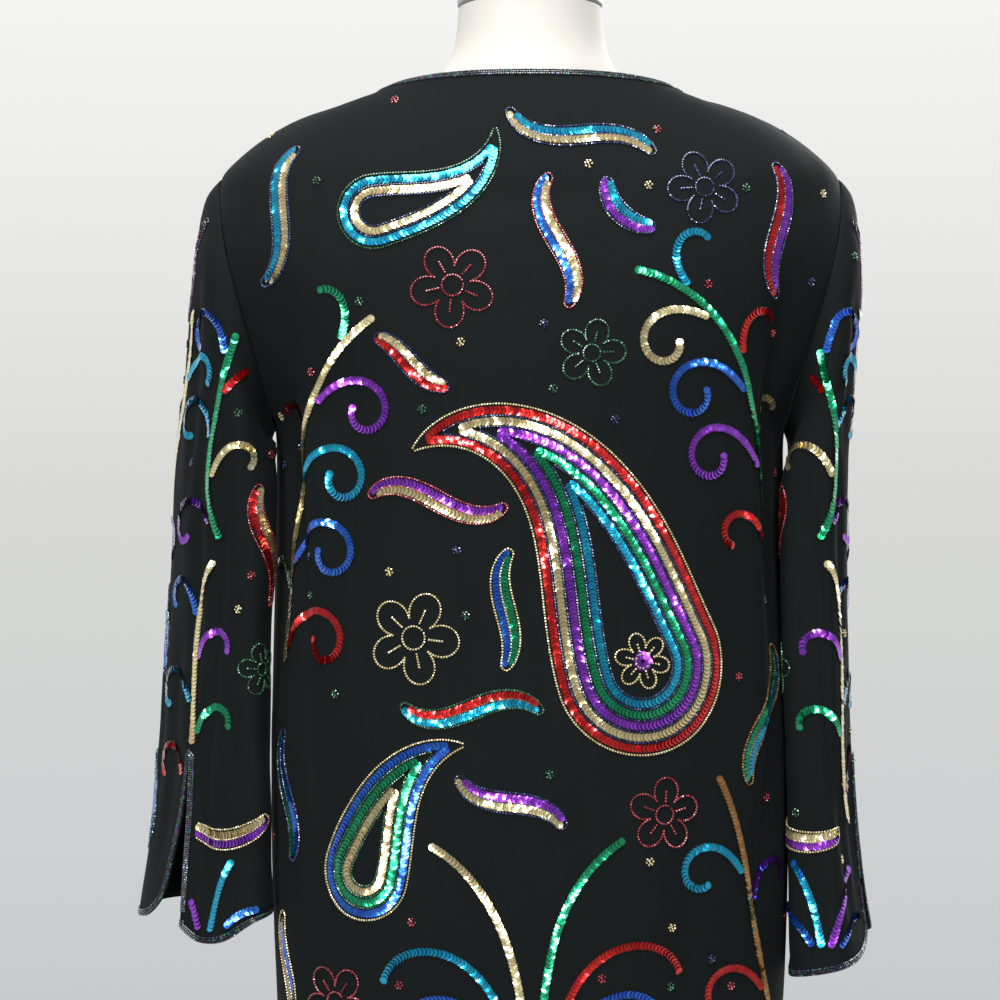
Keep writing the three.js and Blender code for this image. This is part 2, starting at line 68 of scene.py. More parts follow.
class Wire:  # a shader socket that takes part in sums
    def __init__(self, tree, socket=None):
        self.tree = tree
        self.socket = socket

    def node(self, kind, settings=None, sockets=None, out=0):  # settings first, then values or links
        made = self.tree.nodes.new(kind)
        for name, value in (settings or {}).items():
            if name == "stops":
                ramp = made.color_ramp
                for place, colour in value[1:-1]:
                    ramp.elements.new(place).color = (*colour, 1)
                for element, (place, colour) in zip((ramp.elements[0], ramp.elements[-1]), (value[0], value[-1])):
                    element.position = place
                    element.color = (*colour, 1)
            else:
                setattr(made, name, value)
        for name, value in (sockets or {}).items():
            if isinstance(value, Wire):
                self.tree.links.new(value.socket, made.inputs[name])
            else:
                made.inputs[name].default_value = value
        return Wire(self.tree, made.outputs[out])

    def sum(self, operation, first, second):
        return self.node("ShaderNodeMath", {"operation": operation}, {0: first, 1: second})

    def __add__(self, other):
        return self.sum("ADD", self, other)

    def __sub__(self, other):
        return self.sum("SUBTRACT", self, other)

    def __rsub__(self, other):
        return self.sum("SUBTRACT", other, self)

    def __mul__(self, other):
        return self.sum("MULTIPLY", self, other)

    def __pow__(self, other):
        return self.sum("POWER", self, other)

    __radd__ = __add__
    __rmul__ = __mul__

    def mixColours(self, first, second):  # self is the share of the second colour
        return self.node("ShaderNodeMix", {"data_type": "RGBA"}, {0: self, 6: first, 7: second}, out=2)


def newMaterial(name, shade, plain):
    # plain holds the shader's constant sockets; shade returns the ones that change over the surface
    material = bpy.data.materials.new(name)
    material.use_nodes = True
    tree = material.node_tree
    shader = tree.nodes["Principled BSDF"]
    for socket, value in plain.items():
        shader.inputs[socket].default_value = value
    wire = Wire(tree)
    place = wire.node("ShaderNodeTexCoord", out=3)
    for socket, value in shade(wire, place).items():
        tree.links.new(value.socket, shader.inputs[socket])
    return material


def noiseAt(wire, place, scale, detail=2, roughness=0.5):
    return wire.node(
        "ShaderNodeTexNoise", None,
        {"Vector": place, "Scale": scale, "Detail": detail, "Roughness": roughness})


def bumpOf(wire, height, strength, distance):
    return wire.node("ShaderNodeBump", None, {"Height": height, "Strength": strength, "Distance": distance})


silkSet = {
    "dark": (0.003, 0.0041, 0.0044, 1),
    "light": (0.0062, 0.008, 0.0084, 1),
    "crepe": 1150,  # grains to the metre
    "slub": 340,
    "wrinkle": 28,
    "grain": 0.00022,
    "softWrinkle": 0.0011,
}


def silkShade(wire, place):
    crepe = noiseAt(wire, place, silkSet["crepe"], 2, 0.6)
    across = wire.node("ShaderNodeMapping", None, {"Vector": place, "Scale": (1, 1, 0.06)})
    slub = noiseAt(wire, across, silkSet["slub"], 2, 0.5)
    wrinkle = noiseAt(
        wire, wire.node("ShaderNodeMapping", None, {"Vector": place, "Scale": (1, 1, 0.35)}),
        silkSet["wrinkle"], 3, 0.5)
    # crepe and slub are the yarn's own tone; the wrinkle share is painted shade and highlight, darker in the
    # wrinkles' troughs and lighter on their ridges, as the same noise sinks and raises the cloth
    tone = 0.35 * crepe + 0.3 * slub + 0.35 * wrinkle
    height = silkSet["grain"] * crepe + 0.00005 * slub + silkSet["softWrinkle"] * wrinkle
    return {
        "Base Color": tone.mixColours(silkSet["dark"], silkSet["light"]),
        "Roughness": 0.62 + 0.22 * crepe,
        "Normal": bumpOf(wire, height, 0.55, 1),
    }


silk = newMaterial("crepeSilk", silkShade, {
    "Specular IOR Level": 0.05, "Sheen Weight": 0.02, "Sheen Roughness": 0.45,
    "Sheen Tint": (0.75, 0.85, 0.86, 1)})

coverSet = {"base": (0.485, 0.465, 0.435, 1), "shade": (0.46, 0.44, 0.41, 1), "knit": 1100, "grain": 900}


def coverShade(wire, place):
    along = wire.node("ShaderNodeMapping", None, {"Vector": place, "Scale": (1, 1, 0.3)})
    knit = noiseAt(wire, along, coverSet["knit"], 1)
    grain = noiseAt(wire, place, coverSet["grain"], 2)
    patch = noiseAt(wire, place, 9, 2)
    tone = 0.3 * grain + 0.2 * knit + 0.5 * patch
    return {
        "Base Color": tone.mixColours(coverSet["base"], coverSet["shade"]),
        "Roughness": 0.5 + 0.2 * grain,
        "Normal": bumpOf(wire, 0.00004 * knit + 0.00006 * grain, 0.5, 1),
    }


formCover = newMaterial("creamKnit", coverShade, {
    "Sheen Weight": 0.15, "Sheen Roughness": 0.4, "Specular IOR Level": 0.35})

trimSet = {"base": (0.27, 0.27, 0.28, 1), "rubbed": (0.36, 0.36, 0.37, 1)}


def trimShade(wire, place):
    brushed = noiseAt(
        wire, wire.node("ShaderNodeMapping", None, {"Vector": place, "Scale": (1, 1, 14)}), 60, 3)
    fine = noiseAt(wire, place, 420, 2)
    return {
        "Base Color": (0.6 * brushed + 0.4 * fine).mixColours(trimSet["base"], trimSet["rubbed"]),
        "Roughness": 0.32 + 0.2 * brushed,
        "Normal": bumpOf(wire, 0.00003 * fine, 0.4, 1),
    }


formTrim = newMaterial("satinGrey", trimShade, {"Metallic": 0.35, "Coat Weight": 0.2})

print("materials made")


# Sequins: each film has a face colour and a shifted one that shows on some of them
sequinColours = {
    "violet": ((0.25, 0.035, 0.62), (0.42, 0.07, 0.75)),
    "plum": ((0.13, 0.008, 0.16), (0.26, 0.02, 0.3)),
    "red": ((0.62, 0.008, 0.012), (0.8, 0.03, 0.02)),
    "gold": ((0.76, 0.62, 0.3), (0.88, 0.78, 0.48)),
    "emerald": ((0.005, 0.33, 0.1), (0.01, 0.48, 0.25)),
    "turquoise": ((0.006, 0.36, 0.7), (0.015, 0.55, 0.74)),
    "cobalt": ((0.016, 0.11, 0.72), (0.04, 0.25, 0.82)),
    "bronze": ((0.34, 0.15, 0.03), (0.45, 0.24, 0.07)),
}
# Beads: the glass, and a painted glint: the lighter colour, which some beads take at random, is painted highlight
# standing in for the lamps' reflection
beadColours = {
    "navyBead": ((0.006, 0.009, 0.045), (0.09, 0.12, 0.32)),
    "redBead": ((0.2, 0.004, 0.012), (0.62, 0.1, 0.12)),
    "greenBead": ((0.004, 0.05, 0.02), (0.1, 0.3, 0.16)),
    "goldBead": ((0.5, 0.38, 0.15), (0.9, 0.82, 0.55)),
    "tealBead": ((0.003, 0.035, 0.045), (0.06, 0.24, 0.28)),
    "jetBead": ((0.005, 0.005, 0.006), (0.06, 0.063, 0.066)),
    "bronzeBead": ((0.14, 0.06, 0.015), (0.5, 0.3, 0.12)),
    "plumBead": ((0.03, 0.004, 0.05), (0.14, 0.05, 0.2)),
}


# The last three settings of each look paint shade: sequin rims and bead ends are darkened, standing in for the
# shade between overlapping pieces
filmTone = {"spread": 0.35, "sharpness": 1.3, "edge": 0.8, "rimShadeWidth": 6, "rimShadeTone": 0.12}
glassTone = {"spread": 0.15, "sharpness": 2.2, "edge": 0.85, "rimShadeWidth": 3, "rimShadeTone": 0.1}


def toneShade(colours, look):
    # tone differs from piece to piece, and rim runs from 0 at a piece's middle to 1 at its edge, where painted
    # shade darkens the colour
    def shade(wire, place):
        tone = wire.node("ShaderNodeAttribute", {"attribute_name": "tone"}, out=2)
        rim = wire.node("ShaderNodeAttribute", {"attribute_name": "rim"}, out=2)
        ripple = noiseAt(wire, place, 160, 1)
        # share picks the second colour: a shifted film colour on sequins, a painted glint on beads
        share = (tone ** look["sharpness"]) * (1 - look["spread"]) + look["spread"] * ripple
        film = share.mixColours((*colours[0], 1), (*colours[1], 1))
        # painted shade: the colour darkens towards each piece's rim, standing in for the shade between overlapping
        # pieces
        edge = look["edge"] * rim ** look["rimShadeWidth"]
        return {
            "Base Color": edge.mixColours(film, (*(look["rimShadeTone"] * part for part in colours[0]), 1)),
            "Roughness": 0.12 + 0.14 * ripple,
        }
    return shade


smallPieceMaterials = {}
for name, colours in sequinColours.items():
    smallPieceMaterials[name] = newMaterial(
        name + "Film", toneShade(colours, filmTone),
        {"Metallic": 0.88, "Coat Weight": 0.9, "Coat Roughness": 0.06})
for name, colours in beadColours.items():
    smallPieceMaterials[name] = newMaterial(
        name + "Glass", toneShade(colours, glassTone),
        {"Metallic": 0.2, "Coat Weight": 1.0, "Coat Roughness": 0.05})


# Cloth shells
clothSet = {
    "levels": 2,  # finer grid than the solids'
    "wall": 1.2 * mm,
    "rimEdge": 2.2 * mm,  # only the rim of a solid's wall has edges as short as this
    "held": 16,  # creases fade out this far from a piece's edge, in mm
    "edgeKeep": 9,  # no beadwork this close to a piece's edge, in mm
}


def outerSheet(nodeName):
    # the outer surface of a CAD wall, as quads
    sheet = bmesh.new()
    sheet.from_mesh(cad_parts[nodeName].data)
    bmesh.ops.remove_doubles(sheet, verts=sheet.verts, dist=0.00002)
    rim = [f for f in sheet.faces if min(e.calc_length() for e in f.edges) < clothSet["rimEdge"]]
    bmesh.ops.delete(sheet, geom=rim, context="FACES_ONLY")
    loose = [e for e in sheet.edges if not e.link_faces]
    bmesh.ops.delete(sheet, geom=loose, context="EDGES")
    unseen = set(sheet.faces)
    islands = []
    while unseen:
        island = set()
        front = [next(iter(unseen))]
        while front:
            face = front.pop()
            if face in island:
                continue
            island.add(face)
            front += [g for e in face.edges for g in e.link_faces if g not in island]
        unseen -= island
        islands.append(island)
    islands.sort(key=lambda island: sum(f.calc_area() for f in island))
    inner = [f for island in islands[:-1] for f in island]
    bmesh.ops.delete(sheet, geom=inner, context="FACES")
    bmesh.ops.join_triangles(
        sheet, faces=sheet.faces, angle_face_threshold=math.pi, angle_shape_threshold=math.pi)
    return sheet


def asObject(name, sheet):
    mesh = bpy.data.meshes.new(name)
    sheet.to_mesh(mesh)
    sheet.free()
    made = bpy.data.objects.new(name, mesh)
    bpy.context.scene.collection.objects.link(made)
    return made


def applied(made):
    # the mesh with its modifiers worked in
    bpy.context.view_layer.update()
    ready = made.evaluated_get(bpy.context.evaluated_depsgraph_get())
    mesh = bpy.data.meshes.new_from_object(ready)
    made.modifiers.clear()
    old = made.data
    made.data = mesh
    bpy.data.meshes.remove(old)
    mesh.name = made.name
    return made


class ClothMap:  # places on a piece by mm round it and mm up
    rowStep = 12
    angles = np.radians(np.arange(-180, 181, 3))

    def __init__(self, sheet, piece):
        self.tree = BVHTree.FromBMesh(sheet)
        self.axis = piece["axis"]
        self.side = piece["side"]
        self.hand = piece["hand"]
        heights = [v.co.z / mm for v in sheet.verts]
        self.low, self.high = min(heights), max(heights)
        self.rows = np.arange(self.low + 2, self.high, self.rowStep)
        self.arcs = np.array([self.measureRow(z) for z in self.rows])
        edge = [e for e in sheet.edges if e.is_boundary]
        self.border = BVHTree.FromPolygons(
            [v.co.copy() for e in edge for v in (*e.verts, e.verts[0])],
            [(3 * i, 3 * i + 1, 3 * i + 2) for i in range(len(edge))])

    def axisAt(self, z):
        heights = [row[0] for row in self.axis]
        return Vector([float(np.interp(z, heights, [row[i] for row in self.axis])) for i in (1, 2)])

    def cast(self, angle, z):
        x, y = self.axisAt(z)
        way = Vector((self.hand * math.sin(angle), self.side * math.cos(angle), 0))
        start = Vector((x, y, z)) * mm
        return self.tree.ray_cast(start, way, 0.4)

    def measureRow(self, z):
        # the way round the cloth from the reference line, at each angle
        hits = [self.cast(angle, z)[0] for angle in self.angles]
        middle = len(self.angles) // 2
        arc = np.zeros(len(self.angles))
        for way in (-1, 1):
            step = 6.0
            for i in range(middle + way, middle + way * (middle + 1), way):
                here, before = hits[i], hits[i - way]
                if here is not None and before is not None:
                    step = min(30.0, (here - before).length / mm)
                arc[i] = arc[i - way] + way * step
        return arc

    def rowShare(self, z):
        place = (z - self.rows[0]) / self.rowStep
        low = int(min(max(math.floor(place), 0), len(self.rows) - 2))
        return low, min(max(place - low, 0.0), 1.0)

    def angleAt(self, around, z):
        low, share = self.rowShare(z)
        pair = [np.interp(around, self.arcs[low + i], self.angles) for i in (0, 1)]
        return float(pair[0] * (1 - share) + pair[1] * share)

    def aroundOf(self, point):
        z = point.z / mm
        x, y = self.axisAt(z)
        angle = math.atan2(self.hand * (point.x / mm - x), self.side * (point.y / mm - y))
        low, share = self.rowShare(z)
        pair = [np.interp(angle, self.angles, self.arcs[low + i]) for i in (0, 1)]
        return float(pair[0] * (1 - share) + pair[1] * share)

    def spot(self, around, z, keep=None):
        # the point and outward normal there, or None off the piece or near its edge
        if not self.low < z < self.high:
            return None
        point, normal, _, _ = self.cast(self.angleAt(around, z), z)
        if point is None:
            return None
        limit = clothSet["edgeKeep"] if keep is None else keep
        near = self.border.find_nearest(point)
        if near[0] is not None and near[3] < limit * mm:
            return None
        return point, normal


def easeShare(share):
    return min(1.0, max(0.0, share)) ** 2 * (3 - 2 * min(1.0, max(0.0, share)))


def creaseDepth(creases, around, z):
    # troughs, or ridges where depth is under 0, each from one place to another
    total = 0.0
    for crease in creases:
        (u0, z0), (u1, z1) = crease["start"], crease["end"]
        du, dz = u1 - u0, z1 - z0
        length2 = du * du + dz * dz
        t = ((around - u0) * du + (z - z0) * dz) / length2
        if not -0.15 < t < 1.15:
            continue
        off = abs((around - u0) * dz - (z - z0) * du) / math.sqrt(length2)
        if off > 3 * crease["width"]:
            continue
        ends = easeShare((t + 0.15) / 0.45) * easeShare((1.15 - t) / 0.45)
        total += crease["depth"] * math.exp(-((off / crease["width"]) ** 2)) * ends
    return total


bodyAxis = [(0, 0, 0), (900, 0, 0)]
pieces = {
    "back": {
        "node": "back_panel", "axis": bodyAxis, "side": -1, "hand": 1,
        "cut": (0.53, 0.745), "cutArea": 0.365,
        "ripple": 0.35,
        "creases": [
            {"start": (-196, 560), "end": (-168, 350), "width": 9, "depth": 4.6},
            {"start": (-178, 600), "end": (-150, 420), "width": 10, "depth": -2.6},
            {"start": (-172, 380), "end": (-150, 180), "width": 11, "depth": 3.2},
            {"start": (188, 640), "end": (196, 380), "width": 9, "depth": 4.9},
            {"start": (168, 560), "end": (178, 330), "width": 11, "depth": -2.9},
            {"start": (202, 400), "end": (176, 190), "width": 10, "depth": 3.5},
            {"start": (-92, 330), "end": (-108, 90), "width": 14, "depth": 2.3},
            {"start": (20, 300), "end": (34, 80), "width": 16, "depth": 2},
            {"start": (118, 280), "end": (104, 80), "width": 13, "depth": 2.6},
            {"start": (-60, 700), "end": (60, 706), "width": 13, "depth": 1.2},
        ],
    },
    "frontRight": {
        "node": "front_panel_right", "axis": bodyAxis, "side": 1, "hand": 1,
        "cut": (0.266, 0.725), "cutArea": 0.173,
        "ripple": 0.35,
        "creases": [
            {"start": (186, 620), "end": (196, 380), "width": 9, "depth": 3},
            {"start": (160, 520), "end": (150, 280), "width": 11, "depth": -1.8},
            {"start": (70, 480), "end": (88, 150), "width": 13, "depth": 2.2},
            {"start": (24, 420), "end": (34, 90), "width": 11, "depth": 1.6},
            {"start": (150, 240), "end": (136, 80), "width": 13, "depth": 1.8},
        ],
    },
    "frontLeft": {
        "node": "front_panel_left", "axis": bodyAxis, "side": 1, "hand": -1,
        "cut": (0.266, 0.725), "cutArea": 0.173,
        "ripple": 0.35,
        "creases": [
            {"start": (190, 600), "end": (182, 350), "width": 9, "depth": 3},
            {"start": (158, 560), "end": (166, 300), "width": 11, "depth": -1.8},
            {"start": (62, 500), "end": (74, 180), "width": 13, "depth": 2},
            {"start": (28, 360), "end": (22, 90), "width": 11, "depth": 1.6},
            {"start": (130, 260), "end": (146, 80), "width": 13, "depth": 1.8},
        ],
    },
    "sleeveRight": {
        "node": "sleeve_right", "side": -1, "hand": 1,
        "axis": [(120, 223, -8), (226, 217, -8), (500, 213, 0), (600, 208, 0), (680, 202, 0), (760, 196, 0)],
        "cut": (0.36, 0.62), "cutArea": 0.15,
        "ripple": 0.7,
        "creases": [
            {"start": (-10, 480), "end": (4, 240), "width": 6, "depth": 4},
            {"start": (18, 570), "end": (30, 370), "width": 7, "depth": 4},
            {"start": (46, 650), "end": (32, 510), "width": 8, "depth": 3.4},
            {"start": (8, 310), "end": (24, 170), "width": 7, "depth": 3.4},
            {"start": (50, 380), "end": (38, 200), "width": 9, "depth": 2.6},
            {"start": (-36, 560), "end": (-34, 140), "width": 16, "depth": -2},
            {"start": (-56, 570), "end": (-56, 470), "width": 16, "depth": -2.4},
            {"start": (76, 440), "end": (84, 250), "width": 9, "depth": 3},
            {"start": (116, 560), "end": (100, 330), "width": 10, "depth": 3.4},
            {"start": (144, 420), "end": (154, 230), "width": 10, "depth": 3},
        ],
    },
    "sleeveLeft": {
        "node": "sleeve_left", "side": -1, "hand": -1,
        "axis": [(120, -247, -4), (226, -241, -4), (340, -236, -3), (500, -230, 0), (600, -215, 0), (680, -204, 0),
                 (760, -196, 0)],
        "cut": (0.36, 0.62), "cutArea": 0.15,
        "ripple": 0.7, "held": 7,
        "creases": [
            {"start": (-8, 510), "end": (0, 260), "width": 6, "depth": 4},
            {"start": (24, 560), "end": (16, 330), "width": 8, "depth": 4},
            {"start": (50, 650), "end": (38, 490), "width": 8, "depth": 3.4},
            {"start": (12, 330), "end": (-8, 190), "width": 7, "depth": 3.6},
            {"start": (40, 400), "end": (50, 210), "width": 9, "depth": 2.6},
            {"start": (-68, 552), "end": (-66, 522), "width": 14, "depth": -2},
            {"start": (-60, 534), "end": (-60, 519), "width": 15, "depth": -3.2},
            {"start": (-62, 548), "end": (-60, 512), "width": 14, "depth": -1.7},
            {"start": (-54, 575), "end": (-54, 432), "width": 17, "depth": -4.2},
            {"start": (-54, 412), "end": (-54, 352), "width": 16, "depth": 1.5},
            {"start": (-54, 345), "end": (-54, 215), "width": 17, "depth": -0.9},
            {"start": (-54, 300), "end": (-54, 150), "width": 17, "depth": -4.5},
            {"start": (80, 460), "end": (72, 260), "width": 9, "depth": 3},
            {"start": (116, 540), "end": (102, 320), "width": 10, "depth": 3.4},
            {"start": (142, 440), "end": (154, 240), "width": 10, "depth": 3},
        ],
    },
}


def makeCloth(name, piece):
    made = asObject(name + "Cloth", outerSheet(piece["node"]))
    finer = made.modifiers.new("finer", "SUBSURF")
    finer.levels = finer.render_levels = clothSet["levels"]
    finer.boundary_smooth = "PRESERVE_CORNERS"
    applied(made)
    sheet = bmesh.new()
    sheet.from_mesh(made.data)
    plain = ClothMap(sheet, piece)
    sheet.normal_update()
    moves = []
    for v in sheet.verts:
        around, z = plain.aroundOf(v.co), v.co.z / mm
        near = plain.border.find_nearest(v.co)[3] / mm
        hold = easeShare(near / piece.get("held", clothSet["held"]))  # seams and edges stay in place
        ripple = noise.noise(Vector((around / 38, z / 95, 3.7 * piece["side"]))) * piece["ripple"]
        ripple += noise.noise(Vector((around / 15, z / 34, 9.1 * piece["side"]))) * piece["ripple"] * 0.5
        moves.append(v.normal * (-creaseDepth(piece["creases"], around, z) + 2 * ripple - 0.4) * hold * mm)
    for v, move in zip(sheet.verts, moves):
        v.co += move
    sheet.normal_update()
    piece["map"] = ClothMap(sheet, piece)
    piece["edges"] = borderRuns(sheet)
    piece["area"] = sum(f.calc_area() for f in sheet.faces)
    sheet.to_mesh(made.data)
    sheet.free()
    wall = made.modifiers.new("wall", "SOLIDIFY")
    wall.thickness = clothSet["wall"]
    wall.offset = -1
    wall.use_even_offset = True
    applied(made)
    made.data.materials.clear()
    made.data.materials.append(silk)
    made.data.polygons.foreach_set("use_smooth", [True] * len(made.data.polygons))
    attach(made, "root")
    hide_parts(piece["node"])
    piece["cloth"] = made
    print(name, "cloth:", len(made.data.polygons), "faces,", round(piece["area"], 4), "m2")


def borderRuns(sheet):
    # the sheet's free edges, in order, each point with its normal and the way into the cloth
    border = {}
    for edge in sheet.edges:
        if edge.is_boundary:
            loop = edge.link_loops[0]
            border[loop.vert] = (loop.link_loop_next.vert, edge.link_faces[0].calc_center_median())
    runs = []
    while border:
        start = next(iter(border))
        run = []
        here = start
        while here in border:
            after, inside = border.pop(here)
            run.append((here.co.copy(), here.normal.copy(), inside))
            here = after
        runs.append(run)
    return runs


for name, piece in pieces.items():
    makeCloth(name, piece)
print("cloth made")


# The dress form, rounded from its solids
formPieces = {
    "torsoCover": {"node": "form_torso", "material": formCover, "slot": "form_cover", "edge": 0.8, "levels": 2},
    "neckCap": {"node": "form_neck_cap", "material": formTrim, "slot": "form_trim", "edge": 0.9, "levels": 0},
    "baseBoard": {"node": "form_base_board", "material": formTrim, "slot": "form_trim", "edge": 1.2, "levels": 0},
}


def makeForm(name, piece):
    solid = bmesh.new()
    solid.from_mesh(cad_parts[piece["node"]].data)
    bmesh.ops.remove_doubles(solid, verts=solid.verts, dist=0.00002)
    bmesh.ops.join_triangles(
        solid, faces=solid.faces, angle_face_threshold=0.6, angle_shape_threshold=math.pi)
    made = asObject(name, solid)
    edge = made.modifiers.new("edge", "BEVEL")
    edge.width = piece["edge"] * mm
    edge.segments = 2
    edge.angle_limit = 0.9  # radians: the rims alone
    if piece["levels"]:
        finer = made.modifiers.new("finer", "SUBSURF")
        finer.levels = finer.render_levels = piece["levels"]
    applied(made)
    made.data.materials.clear()
    made.data.materials.append(piece["material"])
    made.data.polygons.foreach_set("use_smooth", [True] * len(made.data.polygons))
    made.data.set_sharp_from_angle(angle=0.7)
    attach(made, "root")
    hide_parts(piece["node"])


for name, piece in formPieces.items():
    makeForm(name, piece)
print("form made")


# Beadwork: stems, leaves, flowers and paisleys are drawn in mm round a piece and mm up
sequinSet = {
    "across": 6.0, "pitch": 2.85, "sides": 11, "cup": 0.2, "film": 0.2, "height": 0.85,
    "tilt": 13.5, "tiltJitter": 2.6, "rollJitter": 3, "sway": 11, "patch": 34, "rimShadeAxes": (0, 1),
}
beadSet = {
    "across": 1.5, "pitch": 2.0, "sides": 5, "height": 0.6,
    "tilt": 0, "tiltJitter": 7, "rollJitter": 0, "sway": 0, "patch": 34, "rimShadeAxes": (0,),
}
leafSet = {"rowGap": 6.3, "swell": 0.32, "edge": 4.1}
pathStep = 1.0


def stem(start, heading, length, bend, endBend=None):
    # a line whose bend, in degrees for each 100 mm, runs evenly to endBend
    u, z = start
    angle = math.radians(heading)
    last = bend if endBend is None else endBend
    path = [(u, z)]
    steps = max(2, round(length / pathStep))
    for i in range(steps):
        share = (i + 0.5) / steps
        angle += math.radians(bend + (last - bend) * share) * pathStep / 100
        u += math.cos(angle) * pathStep
        z += math.sin(angle) * pathStep
        path.append((u, z))
    return np.array(path)


def headings(path):
    along = np.gradient(path, axis=0)
    return np.arctan2(along[:, 1], along[:, 0])


def beside(path, offset):
    # the path moved square to itself, by a number or by a function of the share along it
    angle = headings(path)
    share = np.linspace(0, 1, len(path))
    amount = offset(share) if callable(offset) else offset
    return path + np.stack([-np.sin(angle), np.cos(angle)], axis=1) * np.reshape(amount, (-1, 1))


def ringPath(centre, radius, start=0.0, turn=2 * math.pi):
    steps = max(8, round(abs(radius * turn) / pathStep))
    angle = start + np.linspace(0, turn, steps + 1)
    return np.array(centre) + radius * np.stack([np.cos(angle), np.sin(angle)], axis=1)


class Trim:  # the sequins and beads sewn on one piece
    def __init__(self, piece):
        self.map = piece["map"]
        self.sequins = []
        self.beads = []
        self.taken = []

    def runs(self, path, keep=None):
        # the cloth under a path, in runs that end where it leaves the piece
        run, found = [], []
        for u, z in path:
            spot = self.map.spot(u, z, keep)
            if spot is not None:
                run.append(spot)
            if (spot is None or (u, z) == tuple(path[-1])) and run:
                found.append(run)
                run = []
        self.taken += [tuple(place) for place in path[::5]]
        return [one for one in found if len(one) > 3]

    def sew(self, path, kind, colour, pitch, keep=None):
        store = self.sequins if kind == "sequin" else self.beads
        for run in self.runs(path, keep):
            store += [(*place, colour) for place in evenPlaces(run, pitch)]

    def sequinRow(self, path, colour):
        self.sew(path, "sequin", colour, sequinSet["pitch"])

    def beadLine(self, path, colour, pitch=None):
        self.sew(path, "bead", colour, pitch or beadSet["pitch"])


def evenPlaces(run, pitch):
    points = np.array([list(point) for point, _ in run])
    normals = np.array([list(normal) for _, normal in run])
    steps = np.linalg.norm(np.diff(points, axis=0), axis=1) / mm
    reach = np.concatenate([[0], np.cumsum(steps)])
    if reach[-1] < pitch:
        return []
    count = max(1, round(reach[-1] / pitch))
    wanted = (np.arange(count) + 0.5) * reach[-1] / count
    at = np.stack([np.interp(wanted, reach, points[:, i]) for i in range(3)], axis=1)
    up = np.stack([np.interp(wanted, reach, normals[:, i]) for i in range(3)], axis=1)
    ahead = np.stack([np.interp(wanted + 1.2, reach, points[:, i]) for i in range(3)], axis=1)
    behind = np.stack([np.interp(wanted - 1.2, reach, points[:, i]) for i in range(3)], axis=1)
    return list(zip(at, up, ahead - behind))


def sewLeaf(trim, leaf):
    # a spine with rows of sequins on both sides of it, closed by a line of beads
    spine = stem(leaf["at"], leaf["heading"], leaf["length"], leaf["bend"], leaf.get("endBend"))
    rows = leaf["rows"]
    half = (len(rows) - 1) / 2

    def swell(share):
        return np.clip(np.sin(math.pi * share), 0, 1) ** leafSet["swell"]

    for i, colour in enumerate(rows):
        place = (i - half) * leafSet["rowGap"]
        line = beside(spine, lambda share: place * swell(share))
        cut = round(len(line) * (0.035 + 0.03 * i))
        trim.sequinRow(line[cut:len(line) - cut], colour)
        if i:
            between = beside(spine, lambda share: (place - leafSet["rowGap"] / 2) * swell(share))
            trim.beadLine(between[cut:len(line) - cut], leaf["edge"])
    for way in (-1, 1):
        outer = way * (half * leafSet["rowGap"] + leafSet["edge"])
        trim.beadLine(beside(spine, lambda share: outer * swell(share)), leaf["edge"])


def sewVine(trim, vine):
    main = stem(vine["at"], vine["heading"], vine["length"], vine["bend"], vine.get("endBend"))
    trim.sequinRow(main, vine["colour"])
    angle = headings(main)
    for branch in vine["branches"]:
        root = round(branch["share"] * (len(main) - 1))
        way = branch["way"]
        side = beside(main, 4.5 * way)[root]
        line = stem(
            side, math.degrees(angle[root]) + 22 * way, branch["length"],
            way * branch.get("bend", 20), way * branch["curl"])
        trim.sequinRow(line, branch["colour"])


def sewFlower(trim, flower):
    # petals outlined in beads, a vein in each, and a heart of sequins
    petals, radius = flower.get("petals", 5), flower["radius"]
    turn = math.radians(flower.get("turn", 0))
    angle = np.linspace(0, 2 * math.pi, round(2 * math.pi * radius * 1.6))
    reach = radius * (0.4 + 0.6 * np.abs(np.sin(petals * angle / 2)) ** 0.6)
    outline = np.array(flower["at"]) + np.stack(
        [reach * np.cos(angle + turn), reach * np.sin(angle + turn)], axis=1)
    trim.beadLine(outline, flower["colour"])
    for i in range(petals):
        way = turn + (2 * i + 1) * math.pi / petals
        ends = [np.array(flower["at"]) + share * radius * np.array([math.cos(way), math.sin(way)])
                for share in (0.32, 0.66)]
        trim.beadLine(np.linspace(*ends, 24), flower["colour"])
    if flower.get("heart"):
        trim.sequinRow(ringPath(flower["at"], 4.2, turn), flower["heart"])
    trim.beadLine(ringPath(flower["at"], 0.25 * radius, turn), flower["colour"])


def paisleyPath(paisley, inset):
    # the envelope of a circle that shrinks along a curling spine
    spine = stem(
        paisley["at"], paisley["heading"], paisley["length"], paisley["bend"], paisley["endBend"])
    share = np.linspace(0, 1, len(spine))
    radius = paisley["radius"] * (1 - share ** 1.25) ** 0.9
    keep = radius > inset + 0.8
    left = beside(spine, radius - inset)[keep]
    right = beside(spine, inset - radius)[keep]
    back = math.radians(paisley["heading"]) + math.pi / 2
    bulb = ringPath(paisley["at"], paisley["radius"] - inset, back, math.pi)
    return np.concatenate([left[::-1], bulb[1:-1], right])


def sewPaisley(trim, paisley):
    trim.beadLine(paisleyPath(paisley, 0), paisley["outline"])
    inset = 4.6
    for colour in paisley["bands"]:
        trim.sequinRow(paisleyPath(paisley, inset), colour)
        inset += 3.9
        trim.beadLine(paisleyPath(paisley, inset), paisley["line"])
        inset += 3.9
    for heart in paisley.get("hearts", []):
        trim.sequinRow(paisleyPath(paisley, heart["inset"]), heart["colour"])


def sewFan(trim, fan):
    # stems that spread from one root
    count = len(fan["colours"])
    for i, colour in enumerate(fan["colours"]):
        share = 2 * i / (count - 1) - 1
        start = (fan["at"][0] + share * 2.6 * count, fan["at"][1])
        trim.sequinRow(stem(
            start, fan["heading"] - share * fan["spread"], fan["length"] * (1 - 0.3 * abs(share) ** 1.5),
            -share * fan["bend"], -share * fan["endBend"]), colour)


